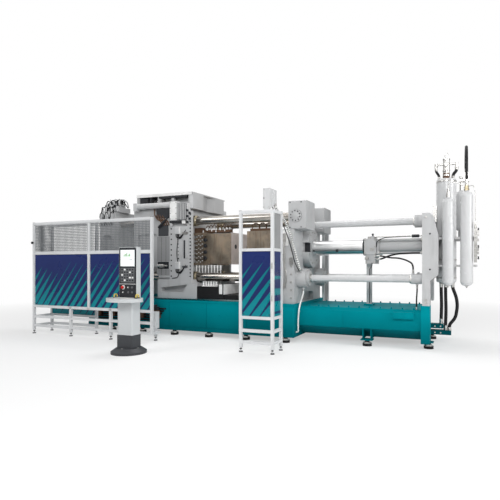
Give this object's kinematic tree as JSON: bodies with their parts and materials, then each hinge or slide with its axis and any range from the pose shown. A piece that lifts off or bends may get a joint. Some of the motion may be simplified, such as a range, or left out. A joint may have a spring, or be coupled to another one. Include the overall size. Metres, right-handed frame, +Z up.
{
  "type": "die casting machine",
  "caption": "Cold-chamber die casting machine with an open die between platens on tie bars, a shot unit with gas accumulators, mesh guards and an operator console.",
  "frame": {"origin": "the middle of the whole plant in plan, guards and console included, at floor level", "axes": "+X along the machine from the closing cylinder to the accumulators, +Y away from the operator, +Z up"},
  "size_m": [9.093, 5.4138, 3.7217],
  "materials": {
    "teal_paint": "satin",
    "dark_teal_paint": "satin",
    "grey_paint": "satin",
    "light_grey_paint": "satin",
    "guard_grey_paint": "satin",
    "mesh_grey_paint": "satin",
    "panel_blue_paint": "satin",
    "console_grey_paint": "satin",
    "plinth_grey_paint": "satin",
    "black_paint": "satin",
    "bare_steel": "ground",
    "hard_chrome": "polished",
    "die_steel": "machined, heat-tinted",
    "bronze": "machined",
    "hose_rubber": "matt",
    "conduit_plastic": "matt"
  },
  "bodies": {
    "root": {"clamp_base": "teal_paint", "machine_feet": "black_paint", "shot_base": "teal_paint", "slide_rails": "bare_steel", "fixed_platen": "grey_paint", "bar_lock_housings": "grey_paint", "tie_bars": "bare_steel", "fixed_die_half": "die_steel", "end_platen": "grey_paint", "bar_nuts": "bare_steel", "closing_cylinder": "grey_paint", "clamp_valves": "grey_paint", "shot_sleeve": "bare_steel", "shot_cylinder_front": "hard_chrome", "shot_valve_block": "grey_paint", "shot_cylinder_rear": "grey_paint", "position_rods": "bare_steel", "shot_rods": "light_grey_paint", "end_frame": "grey_paint", "cylinder_support": "grey_paint", "gas_bottles": "light_grey_paint", "piston_accumulator": "light_grey_paint", "accumulator_bracket": "grey_paint", "accumulator_valves": "bare_steel", "floor_manifold": "dark_teal_paint", "accumulator_hoses": "hose_rubber", "shot_hoses": "hose_rubber", "junction_box": "light_grey_paint", "conduits": "conduit_plastic", "guard_posts": "guard_grey_paint", "guard_rails": "guard_grey_paint", "guard_corner_foot": "guard_grey_paint", "guard_panels": "panel_blue_paint", "guard_mesh": "mesh_grey_paint", "rear_guard_posts": "guard_grey_paint", "rear_guard_rails": "guard_grey_paint", "rear_guard_panels": "panel_blue_paint", "rear_guard_mesh": "mesh_grey_paint", "tower_posts": "guard_grey_paint", "tower_rails": "guard_grey_paint", "tower_panels": "panel_blue_paint", "tower_sheets": "light_grey_paint", "console_foot": "plinth_grey_paint", "console_column": "console_grey_paint", "console_head": "console_grey_paint"},
    "platen": {"moving_platen": "grey_paint", "bar_bushes": "bronze", "platen_shoes": "grey_paint", "platen_rear_body": "grey_paint", "closing_rod": "hard_chrome", "ejector_box": "die_steel", "moving_die_half": "die_steel", "top_housing": "grey_paint", "top_cylinders": "grey_paint", "way_cover": "black_paint"},
    "plunger": {"plunger": "bare_steel"}
  },
  "joints": [
    {"name": "platen_slide", "type": "slide", "parent": "root", "child": "platen", "axis": [1, 0, 0], "range_m": [-0.33, 0.38]},
    {"name": "plunger_slide", "type": "slide", "parent": "root", "child": "plunger", "axis": [-1, 0, 0], "range_m": [0, 0.3]}
  ]
}
